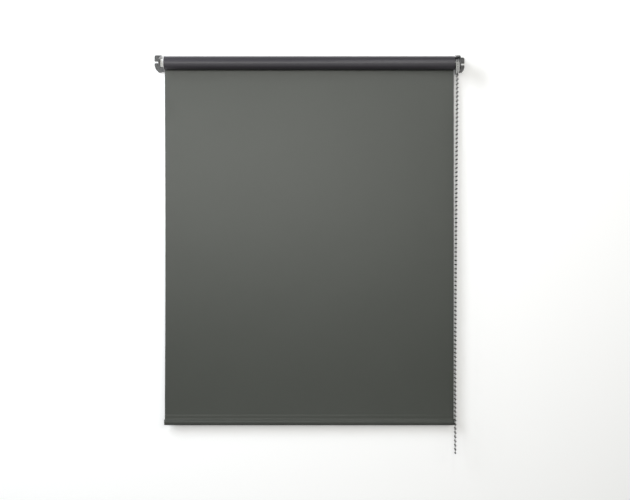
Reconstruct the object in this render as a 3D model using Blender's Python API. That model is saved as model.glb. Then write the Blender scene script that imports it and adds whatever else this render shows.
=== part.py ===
"""Chain-driven roller blind on two wall brackets, built in metres.

X runs along the roller, positive towards the chain. Y points into the wall, whose face is Y = 0. Z is up,
and Z = 0 is the roller's axis. Pieces on the roller are placed from an empty on that axis.
"""

import math

import bmesh
import bpy
from mathutils import Vector

# Overall sizes
SPAN = 0.8519  # between the inner faces of the two side plates
AXIS_OUT = 0.038  # wall to roller axis
DROP = 1.0037  # roller axis to the foot of the free cloth
IDLE_GAP = 0.011  # side plate to cloth edge, idle end
DRIVE_GAP = 0.0132  # side plate to cloth edge, chain end
FIT = 0.0003  # clearance between pieces that seat on each other

# Brackets
PLATE = 0.0025  # side plate thickness
PLATE_NOSE = 0.028  # how far a side plate reaches in front of the axis
NOSE_RADIUS = 0.007  # round front end of the idle side plate
IDLE_TOP, IDLE_BOTTOM = 0.0275, -0.0225
DRIVE_TOP, DRIVE_BOTTOM = 0.0208, -0.0229
IDLE_FLANGE, DRIVE_FLANGE = 0.018, 0.0166  # widths of the flanges
NOTCH_RADIUS = 0.0027
NOTCH_DEPTH = 0.0085  # flange edge to the centre of the notch's round end
IDLE_NOTCH_RISE, DRIVE_NOTCH_RISE = 0.0044, 0.002  # notch centre above the middle of its bracket
FLANGE_CORNER = 0.0045
IDLE_TAPER, DRIVE_TAPER = (0.0125, 0.019), (0.0081, 0.0157)  # cut off each flange's lower outer corner
LIP_FRONT, LIP_BACK = 0.031, 0.004  # lip along the idle plate's lower edge, out from the wall
LIP_HEIGHT = 0.0023
LIP_LENGTH = 0.0079

# Tube and cloth
TUBE_RADIUS = 0.016
TUBE_WALL = 0.001
WOUND = 0.00275  # thickness of cloth wound on the tube
CLOTH = 0.0005
KEY_HALF = 0.0013  # half width of the channel that holds the cloth strip
KEY_DEPTH = 0.0018
STRIP_DEPTH = 0.0012

# Hem
HEM_HEIGHT = 0.0305
HEM_DEPTH = 0.0056
POCKET_HEIGHT = 0.016  # oval part of the hem, round the bar
NECK_DEPTH = 0.0011  # two layers of cloth above the pocket
HEM_WALL = 0.0006
CAP_FLANGE = 0.0016
CAP_TENON = 0.008

# Idle end
PIN_RADIUS = 0.0037
PIN_HEAD_RADIUS = 0.006
PIN_HEAD = 0.003
PIN_TIP = 0.0016  # pin past the outer face of its bracket
PIN_CHAMFER = 0.0008
PLUG_COLLAR_RADIUS = 0.011
COLLAR_GAP = 0.0011  # collar to side plate
PLUG_FLANGE = 0.0015
PLUG_LENGTH = 0.031  # plug inside the tube
SPRING_ROOM = 0.0147  # pin head to spring cap
IDLE_WIRE = 0.0012
IDLE_TURNS = 6
SPRING_CAP = 0.0018
CAP_LEDGE = 0.0022  # spring cap beyond the pin head, all round

# Chain drive
BEAD = 0.0045
BEAD_PITCH = 0.012
WHEEL_POCKETS = 8
WHEEL_FLANGE = 0.001
WHEEL_RIM = 0.0011  # wheel flange past the beads
CORE_RADIUS = 0.007
CORE_TIP_RADIUS = 0.005
CLUTCH_WIRE = 0.0014
CLUTCH_TURNS = 4
HUB_WALL = 0.0022
COVER = 0.002  # thickness of the inner cover
HOUSING_BASE = 0.0013
SHELL_WALL = 0.0015
HOOD_DROP = 0.031  # axis to the mouth of the hood
HOOD_TAPER = 0.0022  # each side of the hood leans in by this
COVER_DROP = 0.033
SEAM = 0.0024  # open groove between housing and cover
SKIRT = 0.0038  # cover's skirt inside the housing
BOSS_HALF = 0.0037  # half width of the square boss in the bracket
BOSS_LENGTH = 0.0042
HUB_REACH = 0.022  # wheel hub inside the adapter
HUB_CLEAR = 0.0035  # wheel hub to the adapter's web
WEB = 0.004  # adapter wall that runs on the core's tip
WEB_PLAY = 0.001  # core past the web
SHOULDER_CLEAR = 0.003  # web to the core's shoulder
ADAPTER_LIP = 0.0015
ADAPTER_FLANGE_RADIUS = 0.0182
HOLE_SPARE = 0.002  # screw hole past the screw
ADAPTER_LENGTH = 0.037
SCREW_RADIUS = 0.0015
SCREW_HEAD_RADIUS = 0.004
SCREW_HEAD = 0.0022
WASHER = 0.001
WASHER_RADIUS = 0.0085
SCREW_REACH = 0.009

# Values that follow
LEFT_FACE, RIGHT_FACE = -SPAN / 2, SPAN / 2
CLOTH_LEFT, CLOTH_RIGHT = LEFT_FACE + IDLE_GAP, RIGHT_FACE - DRIVE_GAP
ROLL_RADIUS = TUBE_RADIUS + WOUND
BORE_RADIUS = TUBE_RADIUS - TUBE_WALL
PLUG_RADIUS = BORE_RADIUS - FIT
RIB_HALF = KEY_HALF + TUBE_WALL
RIB_FLOOR = TUBE_RADIUS - KEY_DEPTH - TUBE_WALL
SLOT_HALF = RIB_HALF + FIT
SLOT_FLOOR = RIB_FLOOR - FIT
WHEEL_PITCH_RADIUS = BEAD_PITCH * WHEEL_POCKETS / (2 * math.pi)
GROOVE_HALF = BEAD / 2 + FIT * 2 / 3
GROOVE_FLOOR = WHEEL_PITCH_RADIUS - BEAD / 2 - FIT
WHEEL_RADIUS = WHEEL_PITCH_RADIUS + BEAD / 2 + WHEEL_RIM
HOUSING_OUTER = RIGHT_FACE - FIT
BASE_INNER = HOUSING_OUTER - HOUSING_BASE
WHEEL_RIGHT = BASE_INNER - FIT
CHAIN_PLANE = WHEEL_RIGHT - WHEEL_FLANGE - GROOVE_HALF
WHEEL_LEFT = CHAIN_PLANE - GROOVE_HALF - WHEEL_FLANGE
COVER_RIGHT = WHEEL_LEFT - FIT
COVER_LEFT = COVER_RIGHT - COVER
SKIRT_RADIUS = WHEEL_RADIUS + 2 * FIT  # inner radius of the cover's skirt
HOOD_RADIUS = SKIRT_RADIUS + 2 * SHELL_WALL + FIT
SPRING_BORE = CORE_RADIUS + CLUTCH_WIRE + 3 * FIT  # bore of the wheel hub round the clutch springs
HUB_RADIUS = SPRING_BORE + HUB_WALL
ADAPTER_BORE = HUB_RADIUS + 2 * FIT
ADAPTER_RIGHT = COVER_LEFT - FIT
ADAPTER_SHOULDER = ADAPTER_RIGHT - ADAPTER_LIP
TUBE_LEFT = CLOTH_LEFT - FIT / 3
TUBE_RIGHT = ADAPTER_SHOULDER - FIT
HUB_LEFT = WHEEL_LEFT - HUB_REACH
WEB_RIGHT = HUB_LEFT - HUB_CLEAR
WEB_LEFT = WEB_RIGHT - WEB
CORE_SHOULDER = WEB_RIGHT + SHOULDER_CLEAR
CORE_END = WEB_LEFT - WEB_PLAY
WHEEL_SHARE = WHEEL_PITCH_RADIUS / 0.01528
HEM_MID = POCKET_HEIGHT / 2 - (DROP + FIT + HEM_HEIGHT)  # middle of the hem bar
CLOTH_BACK = ROLL_RADIUS + FIT  # the free cloth's front face, behind the axis
SEGMENTS = 48
PAST = 0.01  # how far a cutter runs past what it cuts

# The chain's centreline from the top of the wheel: how far it leans from the wheel's plane, how far it is
# behind the axis, and how far above it, with 15.28 mm for the wheel's pitch radius. It runs down the front,
# round the loop and up the back. WHEEL_SHARE widens it, and lifts its top, where the wheel is larger.
CHAIN_ROUTE = [
    (0, -0.0009, 0.01525),
    (0, -0.00585, 0.01412),
    (0, -0.0108, 0.0108),
    (0, -0.01412, 0.00585),
    (0, -0.01528, 0),
    (0, -0.0153, -0.012),
    (0, -0.0153, -0.045),
    (-0.0006, -0.0152, -0.12),
    (-0.0019, -0.0150, -0.25),
    (-0.0032, -0.0148, -0.42),
    (-0.0046, -0.0146, -0.60),
    (-0.0056, -0.0144, -0.78),
    (-0.0060, -0.0141, -0.95),
    (-0.0059, -0.0137, -1.05),
    (-0.0058, -0.0133, -1.085),
    (-0.0058, -0.0117, -1.0985),
    (-0.0058, -0.0083, -1.108),
    (-0.0058, -0.0041, -1.1123),
    (-0.0058, 0, -1.1135),
    (-0.0058, 0.0041, -1.1123),
    (-0.0058, 0.0083, -1.108),
    (-0.0058, 0.0117, -1.0985),
    (-0.0058, 0.0132, -1.085),
    (-0.0059, 0.0135, -1.05),
    (-0.0060, 0.0136, -0.95),
    (-0.0056, 0.0137, -0.78),
    (-0.0046, 0.0137, -0.60),
    (-0.0032, 0.0137, -0.42),
    (-0.0019, 0.0137, -0.25),
    (-0.0006, 0.0138, -0.12),
    (0, 0.0148, -0.045),
    (0, 0.0153, -0.012),
    (0, 0.01528, 0),
    (0, 0.01412, 0.00585),
    (0, 0.0108, 0.0108),
    (0, 0.00585, 0.01412),
    (0, 0.0009, 0.01525),
]


def clear_scene():
    """Removes every object, so the script starts from an empty scene."""
    for item in list(bpy.data.objects):
        bpy.data.objects.remove(item)


def finish(name, colour, roughness, metallic=0.0):
    """A Principled material with the part's own colour and gloss."""
    material = bpy.data.materials.new(name)
    material.use_nodes = True
    shader = material.node_tree.nodes["Principled BSDF"]
    shader.inputs["Base Color"].default_value = (*colour, 1.0)
    shader.inputs["Roughness"].default_value = roughness
    shader.inputs["Metallic"].default_value = metallic
    return material


def empty(name, place):
    """A named point that pieces are placed from."""
    point = bpy.data.objects.new(name, None)
    point.location = place
    bpy.context.collection.objects.link(point)
    return point


def add(name, mesh, material, parent):
    """Links a mesh or curve as a named object under its reference point."""
    piece = bpy.data.objects.new(name, mesh)
    if material:
        mesh.materials.append(material)
    piece.parent = parent
    bpy.context.collection.objects.link(piece)
    return piece


def mesh_from(bm, name, smooth):
    """Turns a bmesh into a mesh with outward faces."""
    bmesh.ops.recalc_face_normals(bm, faces=bm.faces)
    mesh = bpy.data.meshes.new(name)
    bm.to_mesh(mesh)
    bm.free()
    if smooth:
        mesh.shade_smooth()
        mesh.set_sharp_from_angle(angle=math.radians(35))
    return mesh


def turned(name, profile, material, parent, segments=SEGMENTS):
    """A piece turned about the X axis from its (x, radius) profile."""
    bm = bmesh.new()
    points = [bm.verts.new((x, 0, radius)) for x, radius in profile]
    edges = [bm.edges.new(pair) for pair in zip(points, points[1:])]
    if all(radius > 0 for _, radius in profile):
        edges.append(bm.edges.new((points[-1], points[0])))
    bmesh.ops.spin(bm, geom=points + edges, axis=(1, 0, 0), cent=(0, 0, 0), angle=2 * math.pi,
                   steps=segments, use_merge=True)
    bmesh.ops.remove_doubles(bm, verts=bm.verts, dist=1e-6)
    return add(name, mesh_from(bm, name, True), material, parent)


def prism(name, outline, low, high, along, material, parent):
    """An outline extruded along X, where it is drawn in Y and Z, or along Y, where it is in X and Z."""
    place = (lambda u, v, d: (d, u, v)) if along == "X" else (lambda u, v, d: (u, d, v))
    bm = bmesh.new()
    face = bm.faces.new([bm.verts.new(place(u, v, low)) for u, v in outline])
    grown = bmesh.ops.extrude_face_region(bm, geom=[face])["geom"]
    shift = Vector(place(0, 0, high - low))
    bmesh.ops.translate(bm, vec=shift, verts=[g for g in grown if isinstance(g, bmesh.types.BMVert)])
    return add(name, mesh_from(bm, name, True), material, parent)


def combine(piece, other, operation):
    """Cuts or joins another object into a piece, and leaves that object out of the build."""
    step = piece.modifiers.new(other.name, "BOOLEAN")
    step.operation = operation
    step.object = other
    other.hide_render = True
    other.display_type = "WIRE"


def cut(piece, other):
    combine(piece, other, "DIFFERENCE")


def join(piece, other):
    combine(piece, other, "UNION")


def arc(centre, radius, start, end, steps):
    """Points on an arc, in degrees, both ends included."""
    angles = [math.radians(start + (end - start) * i / steps) for i in range(steps + 1)]
    return [(centre[0] + radius * math.cos(a), centre[1] + radius * math.sin(a)) for a in angles]


def rectangle(left, right, bottom, top):
    return [(left, bottom), (right, bottom), (right, top), (left, top)]


def slot_outline(width, height, radius, steps=6):
    """A rectangle about the origin with round corners."""
    u, v = width / 2 - radius, height / 2 - radius
    corners = [((u, v), 0), ((-u, v), 90), ((-u, -v), 180), ((u, -v), 270)]
    return [p for centre, turn in corners for p in arc(centre, radius, turn, turn + 90, steps)]


def oval(width, height, steps=28):
    """An ellipse about the origin."""
    return [(width / 2 * u, height / 2 * v) for u, v in arc((0, 0), 1, 0, 360, steps)[:-1]]


def keyed_circle(radius, half, floor):
    """A circle with a flat-floored channel at its top."""
    reach = math.asin(half / radius)
    steps = SEGMENTS
    angles = [reach + (2 * math.pi - 2 * reach) * i / steps for i in range(steps + 1)]
    round_part = [(radius * math.sin(a), radius * math.cos(a)) for a in angles]
    return round_part + [(-half, floor), (half, floor)]


def coil(name, radius, wire, start, end, turns, material, parent):
    """A wire spring about the X axis, between two planes that its wire touches."""
    steps = 14
    first, last = start + wire / 2, end - wire / 2
    curve = bpy.data.curves.new(name, "CURVE")
    curve.dimensions = "3D"
    curve.bevel_depth = wire / 2
    curve.bevel_resolution = 1
    curve.render_resolution_u = 0
    curve.use_fill_caps = True
    line = curve.splines.new("POLY")
    line.points.add(turns * steps)
    for i, point in enumerate(line.points):
        share = i / (turns * steps)
        turn = 2 * math.pi * turns * share
        point.co = (first + (last - first) * share, radius * math.cos(turn), radius * math.sin(turn), 1)
    return add(name, curve, material, parent)


def smooth_route(points, steps=2):
    """Points on a smooth curve through the given ones."""
    ends = [points[0], *points, points[-1]]
    out = []
    for a, b, c, d in zip(ends, ends[1:], ends[2:], ends[3:]):
        for i in range(steps):
            t = i / steps
            out.append(tuple(
                q + 0.5 * t * (r - p + t * (2 * p - 5 * q + 4 * r - s + t * (3 * q - p - 3 * r + s)))
                for p, q, r, s in zip(a, b, c, d)))
    return out + [points[-1]]


def bracket(name, side, top, bottom, nose_radius, width, rise, taper, material, wall):
    """A wall bracket: a side plate that narrows to a round nose, and a flange with an open screw notch."""
    middle, half = (top + bottom) / 2, (top - bottom) / 2
    inner, outer = side * SPAN / 2, side * (SPAN / 2 + PLATE)
    edge = outer + side * width
    reach = AXIS_OUT + PLATE_NOSE - nose_radius
    turn = math.degrees(math.atan2(half, reach) - math.asin(nose_radius / math.hypot(reach, half)))
    nose = arc((-reach, middle), nose_radius, 90 + turn, 270 - turn, 24)
    plate = prism(name, [(0, bottom), (0, top), *nose], min(inner, outer), max(inner, outer), "X",
                  material, wall)
    outline = slot_outline(width + PLATE, top - bottom, FLANGE_CORNER)
    centre = (inner + edge) / 2
    join(plate, prism(name + "_flange", [(centre + u, middle + v) for u, v in outline], -PLATE, 0, "Y",
                      None, wall))
    low, high = sorted((inner, inner + side * 1.4 * FLANGE_CORNER))
    join(plate, prism(name + "_bend", rectangle(low, high, bottom, top), -PLATE, 0, "Y", None, wall))
    end = NOTCH_DEPTH + PAST
    shape = arc((0, 0), NOTCH_RADIUS, 90, 270, 12) + [(end, -NOTCH_RADIUS), (end, NOTCH_RADIUS)]
    start = edge - side * NOTCH_DEPTH
    cut(plate, prism(name + "_notch", [(start + side * u, middle + rise + v) for u, v in shape],
                     -PLATE - PAST, PAST, "Y", None, wall))
    across, up = taper
    corner = [(FIT, up), (-0.35 * across, 0.42 * up), (-across, -FIT), (FIT, -FIT)]
    cut(plate, prism(name + "_taper", [(edge + side * u, bottom + v) for u, v in corner], -PLATE - PAST,
                     PAST, "Y", None, wall))
    return plate, math.tan(math.radians(turn))


def brackets(wall, axis, steel):
    idle, slope = bracket("idle_bracket", -1, IDLE_TOP, IDLE_BOTTOM, NOSE_RADIUS, IDLE_FLANGE,
                          IDLE_NOTCH_RISE, IDLE_TAPER, steel, wall)
    hole = PIN_RADIUS + FIT
    cut(idle, turned("idle_bracket_hole", [(LEFT_FACE - PAST, 0), (LEFT_FACE - PAST, hole),
                                           (LEFT_FACE + PAST, hole), (LEFT_FACE + PAST, 0)], None, axis, 24))
    lip = [(-out, IDLE_BOTTOM + slope * out + up) for out, up in
           ((LIP_FRONT, 0), (LIP_BACK, 0), (LIP_BACK, LIP_HEIGHT), (LIP_FRONT, LIP_HEIGHT))]
    join(idle, prism("idle_bracket_lip", lip, LEFT_FACE - PLATE / 2, LEFT_FACE + LIP_LENGTH, "X", None, wall))
    drive, _ = bracket("drive_bracket", 1, DRIVE_TOP, DRIVE_BOTTOM, (DRIVE_TOP - DRIVE_BOTTOM) / 2,
                       DRIVE_FLANGE, DRIVE_NOTCH_RISE, DRIVE_TAPER, steel, wall)
    seat = BOSS_HALF + FIT
    cut(drive, prism("drive_bracket_seat", rectangle(-seat, seat, -seat, seat), RIGHT_FACE - PAST,
                     RIGHT_FACE + PAST, "X", None, axis))


def tube(axis, aluminium):
    """The tube, with a channel along its top that also keys the end pieces."""
    outer = keyed_circle(TUBE_RADIUS, KEY_HALF, TUBE_RADIUS - KEY_DEPTH)
    inner = keyed_circle(BORE_RADIUS, RIB_HALF, RIB_FLOOR)
    body = prism("roller_tube", outer, TUBE_LEFT, TUBE_RIGHT, "X", aluminium, axis)
    cut(body, prism("roller_tube_bore", inner, TUBE_LEFT - PAST, TUBE_RIGHT + PAST, "X", None, axis))


def key_slot(piece, left, right, axis):
    """Clears the tube's rib from an end piece that sits in the tube."""
    shape = rectangle(-SLOT_HALF, SLOT_HALF, SLOT_FLOOR, TUBE_RADIUS)
    cut(piece, prism(piece.name + "_slot", shape, left, right, "X", None, axis))


def cloth(axis, hem, fabric, plastic, aluminium):
    """Wound cloth, its fixing strip, the free drop, and the hem with its bar and end caps."""
    inner = TUBE_RADIUS + FIT
    turned("fabric_roll", [(CLOTH_LEFT, inner), (CLOTH_LEFT, ROLL_RADIUS), (CLOTH_RIGHT, ROLL_RADIUS),
                           (CLOTH_RIGHT, inner)], fabric, axis)
    low = TUBE_RADIUS - KEY_DEPTH + FIT
    prism("fabric_strip", rectangle(FIT - KEY_HALF, KEY_HALF - FIT, low, low + STRIP_DEPTH),
          TUBE_LEFT + FIT, TUBE_RIGHT - FIT, "X", plastic, axis)
    prism("fabric_drop", rectangle(CLOTH_BACK, CLOTH_BACK + CLOTH, -DROP, 0), CLOTH_LEFT, CLOTH_RIGHT, "X",
          fabric, axis)

    outside = oval(HEM_DEPTH, POCKET_HEIGHT)
    hollow = oval(HEM_DEPTH - 2 * HEM_WALL, POCKET_HEIGHT - 2 * HEM_WALL)
    neck = rectangle(-NECK_DEPTH / 2, NECK_DEPTH / 2, POCKET_HEIGHT / 4, HEM_HEIGHT - POCKET_HEIGHT / 2)
    pocket = prism("hem_pocket", outside, CLOTH_LEFT, CLOTH_RIGHT, "X", fabric, hem)
    join(pocket, prism("hem_pocket_neck", neck, CLOTH_LEFT, CLOTH_RIGHT, "X", None, hem))
    cut(pocket, prism("hem_pocket_hollow", hollow, CLOTH_LEFT - PAST, CLOTH_RIGHT + PAST, "X", None, hem))
    core = oval(HEM_DEPTH - 2 * HEM_WALL - 2 * FIT, POCKET_HEIGHT - 2 * HEM_WALL - 2 * FIT)
    prism("hem_bar", core, CLOTH_LEFT + CAP_TENON + FIT, CLOTH_RIGHT - CAP_TENON - FIT, "X", aluminium, hem)
    for name, edge, side in (("hem_cap_idle", CLOTH_LEFT, -1), ("hem_cap_drive", CLOTH_RIGHT, 1)):
        near, far = sorted((edge + side * FIT, edge + side * (FIT + CAP_FLANGE)))
        cap = prism(name, outside, near, far, "X", plastic, hem)
        root, tip = sorted((edge + side * (FIT + CAP_FLANGE / 2), edge - side * CAP_TENON))
        join(cap, prism(name + "_tenon", core, root, tip, "X", None, hem))


def idle_end(axis, nylon, steel):
    """The idle plug, and the spring-loaded pin that it turns on."""
    flange_in = TUBE_LEFT - FIT
    flange_out = flange_in - PLUG_FLANGE
    collar_out = LEFT_FACE + COLLAR_GAP
    plug_in = flange_in + PLUG_LENGTH
    recess = plug_in - 2 * FIT - SPRING_CAP
    head_in = recess - SPRING_ROOM
    head_out = head_in - PIN_HEAD
    bore, head_bore, cap_radius = PIN_RADIUS + FIT, PIN_HEAD_RADIUS + FIT, PIN_HEAD_RADIUS + CAP_LEDGE
    plug = turned("idle_plug", [
        (collar_out, bore), (collar_out, PLUG_COLLAR_RADIUS), (flange_out, PLUG_COLLAR_RADIUS),
        (flange_out, TUBE_RADIUS), (flange_in, TUBE_RADIUS), (flange_in, PLUG_RADIUS),
        (plug_in, PLUG_RADIUS), (plug_in, cap_radius + FIT), (recess, cap_radius + FIT),
        (recess, head_bore), (head_out - FIT, head_bore), (head_out - FIT, bore)], nylon, axis)
    key_slot(plug, flange_in, plug_in + PAST, axis)
    tip = LEFT_FACE - PLATE - PIN_TIP
    turned("idle_pin", [
        (tip, 0), (tip, PIN_RADIUS - PIN_CHAMFER), (tip + PIN_CHAMFER, PIN_RADIUS), (head_out, PIN_RADIUS),
        (head_out, PIN_HEAD_RADIUS), (head_in, PIN_HEAD_RADIUS), (head_in, 0)], steel, axis, 24)
    cap_left = recess + FIT
    turned("idle_spring_cap", [(cap_left, 0), (cap_left, cap_radius), (cap_left + SPRING_CAP, cap_radius),
                               (cap_left + SPRING_CAP, 0)], nylon, axis, 32)
    coil("idle_spring", PIN_HEAD_RADIUS - IDLE_WIRE / 2 - FIT, IDLE_WIRE, head_in + FIT, recess - FIT / 2,
         IDLE_TURNS, steel, axis)


def hood_outline(inset, foot):
    """The drive housing's outline: round over the wheel, with nearly straight sides down to its mouth."""
    radius = HOOD_RADIUS - inset
    half = radius - HOOD_TAPER
    return arc((0, 0), radius, 0, 180, 28) + [(-half, -foot), (half, -foot)]


def drive_end(axis, black, grey, steel):
    """The chain drive: a housing with its core, an inner cover, wheel, clutch springs and tube adapter."""
    rim_left = COVER_RIGHT + SEAM
    housing = prism("drive_housing", hood_outline(0, HOOD_DROP), rim_left, HOUSING_OUTER, "X", black, axis)
    cut(housing, prism("drive_housing_hollow", hood_outline(SHELL_WALL, 2 * HOOD_DROP), rim_left - PAST,
                       BASE_INNER, "X", None, axis))
    slope = [(HOUSING_OUTER + FIT, -0.7 * HOOD_DROP), (HOUSING_OUTER + FIT, -1.1 * HOOD_DROP),
             (CHAIN_PLANE, -1.1 * HOOD_DROP)]
    cut(housing, prism("drive_housing_slope", slope, -2 * HOOD_RADIUS, 2 * HOOD_RADIUS, "Y", None, axis))
    hole_end = CORE_END + SCREW_REACH + HOLE_SPARE
    join(housing, turned("drive_housing_core", [
        (BASE_INNER + HOUSING_BASE / 2, 0), (BASE_INNER + HOUSING_BASE / 2, CORE_RADIUS),
        (CORE_SHOULDER, CORE_RADIUS), (CORE_SHOULDER, CORE_TIP_RADIUS), (CORE_END, CORE_TIP_RADIUS),
        (CORE_END, SCREW_RADIUS + FIT), (hole_end, SCREW_RADIUS + FIT), (hole_end, 0)], None, axis, 32))
    join(housing, prism("drive_housing_boss", rectangle(-BOSS_HALF, BOSS_HALF, -BOSS_HALF, BOSS_HALF),
                        BASE_INNER + HOUSING_BASE / 4, HOUSING_OUTER + BOSS_LENGTH, "X", None, axis))

    cover = prism("drive_cover", hood_outline(0, COVER_DROP), COVER_LEFT, COVER_RIGHT, "X", black, axis)
    skirt = prism("drive_cover_skirt", hood_outline(SHELL_WALL + FIT, HOOD_DROP), COVER_LEFT + COVER / 2,
                  COVER_RIGHT + SKIRT, "X", None, axis)
    join(cover, skirt)
    cut(cover, prism("drive_cover_hollow", hood_outline(2 * SHELL_WALL + FIT, 2 * HOOD_DROP), COVER_RIGHT,
                     COVER_RIGHT + SKIRT + PAST, "X", None, axis))
    cut(cover, turned("drive_cover_hole", [
        (COVER_LEFT - PAST, 0), (COVER_LEFT - PAST, ADAPTER_BORE), (COVER_RIGHT + SKIRT, ADAPTER_BORE),
        (COVER_RIGHT + SKIRT, 0)], None, axis))

    groove_left, groove_right = CHAIN_PLANE - GROOVE_HALF, CHAIN_PLANE + GROOVE_HALF
    web = COVER_LEFT
    wheel = turned("chain_wheel", [
        (WHEEL_RIGHT, CORE_RADIUS + FIT), (WHEEL_RIGHT, WHEEL_RADIUS), (groove_right, WHEEL_RADIUS),
        (groove_right, GROOVE_FLOOR), (groove_left, GROOVE_FLOOR), (groove_left, WHEEL_RADIUS),
        (WHEEL_LEFT, WHEEL_RADIUS), (WHEEL_LEFT, HUB_RADIUS), (HUB_LEFT, HUB_RADIUS),
        (HUB_LEFT, SPRING_BORE), (web, SPRING_BORE), (web, CORE_RADIUS + FIT)], grey, axis)
    for i in range(WHEEL_POCKETS):
        turn = 2 * math.pi * i / WHEEL_POCKETS
        bm = bmesh.new()
        bmesh.ops.create_uvsphere(bm, u_segments=12, v_segments=8, radius=GROOVE_HALF + FIT)
        ball = add(f"chain_wheel_pocket_{i}", mesh_from(bm, "pocket", True), None, axis)
        back, up = WHEEL_PITCH_RADIUS * math.cos(turn), WHEEL_PITCH_RADIUS * math.sin(turn)
        ball.location = (CHAIN_PLANE, back, up)
        cut(wheel, ball)

    room = (web - HUB_LEFT) / 2
    spring_radius = CORE_RADIUS + 1.5 * FIT + CLUTCH_WIRE / 2
    spring_length = (CLUTCH_TURNS + 1.2) * CLUTCH_WIRE
    for i, name in enumerate(("clutch_spring_up", "clutch_spring_down")):
        start = HUB_LEFT + i * room + FIT
        coil(name, spring_radius, CLUTCH_WIRE, start, start + spring_length, CLUTCH_TURNS, steel, axis)

    adapter_left = ADAPTER_SHOULDER - ADAPTER_LENGTH
    adapter = turned("tube_adapter", [
        (ADAPTER_RIGHT, ADAPTER_BORE), (ADAPTER_RIGHT, ADAPTER_FLANGE_RADIUS),
        (ADAPTER_SHOULDER, ADAPTER_FLANGE_RADIUS),
        (ADAPTER_SHOULDER, PLUG_RADIUS), (adapter_left, PLUG_RADIUS), (adapter_left, ADAPTER_BORE),
        (WEB_LEFT, ADAPTER_BORE), (WEB_LEFT, CORE_TIP_RADIUS + FIT), (WEB_RIGHT, CORE_TIP_RADIUS + FIT),
        (WEB_RIGHT, ADAPTER_BORE)], grey, axis)
    key_slot(adapter, adapter_left - PAST, ADAPTER_SHOULDER, axis)

    washer_right = CORE_END - FIT
    washer_left = washer_right - WASHER
    hole = SCREW_RADIUS + FIT
    turned("core_washer", [(washer_left, hole), (washer_left, WASHER_RADIUS), (washer_right, WASHER_RADIUS),
                           (washer_right, hole)], steel, axis, 32)
    head_right = washer_left - FIT
    turned("core_screw", [
        (head_right - SCREW_HEAD, 0), (head_right - SCREW_HEAD, SCREW_HEAD_RADIUS * 0.85),
        (head_right - SCREW_HEAD / 2, SCREW_HEAD_RADIUS), (head_right, SCREW_HEAD_RADIUS),
        (head_right, SCREW_RADIUS), (CORE_END + SCREW_REACH, SCREW_RADIUS),
        (CORE_END + SCREW_REACH, 0)], steel, axis, 24)


def chain(axis, plastic):
    """The endless bead chain as a plain tube, over the wheel and down to its loop."""
    route = smooth_route(CHAIN_ROUTE)
    curve = bpy.data.curves.new("bead_chain", "CURVE")
    curve.dimensions = "3D"
    curve.bevel_depth = BEAD / 2
    curve.bevel_resolution = 2
    curve.render_resolution_u = 0
    curve.use_fill_caps = True
    line = curve.splines.new("POLY")
    line.points.add(len(route) - 1)
    for point, (lean, back, up) in zip(line.points, route):
        point.co = (CHAIN_PLANE + lean, back * WHEEL_SHARE, up * WHEEL_SHARE if up > 0 else up, 1)
    add("bead_chain", curve, plastic, axis)


def main():
    clear_scene()
    bracket_paint = finish("bracket_paint", (0.10, 0.105, 0.105), 0.35)
    black = finish("housing_plastic", (0.015, 0.016, 0.016), 0.25)
    grey = finish("drive_plastic", (0.05, 0.05, 0.05), 0.5)
    nylon = finish("idle_nylon", (0.85, 0.85, 0.83), 0.45)
    aluminium = finish("aluminium", (0.75, 0.76, 0.77), 0.35, 1.0)
    steel = finish("spring_steel", (0.55, 0.55, 0.56), 0.3, 1.0)
    fabric = finish("cloth", (0.12, 0.13, 0.12), 0.85)
    trim = finish("trim_plastic", (0.03, 0.03, 0.03), 0.5)
    bead = finish("bead_plastic", (0.03, 0.032, 0.032), 0.35)

    wall = empty("wall_line", (0, 0, 0))
    axis = empty("roller_axis", (0, -AXIS_OUT, 0))
    hem = empty("hem_line", (0, CLOTH_BACK + CLOTH / 2 - AXIS_OUT, HEM_MID))
    brackets(wall, axis, bracket_paint)
    tube(axis, aluminium)
    cloth(axis, hem, fabric, trim, aluminium)
    idle_end(axis, nylon, steel)
    drive_end(axis, black, grey, steel)
    chain(axis, bead)


main()
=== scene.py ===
"""Looks of a chain-driven roller blind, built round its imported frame.

X runs along the roller, positive towards the chain. Y points into the wall, whose face is Y = 0. Z is up,
and Z = 0 is the roller's axis. All sizes are in metres.
"""

import math

import bmesh
import bpy
from mathutils import Matrix, Vector


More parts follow.
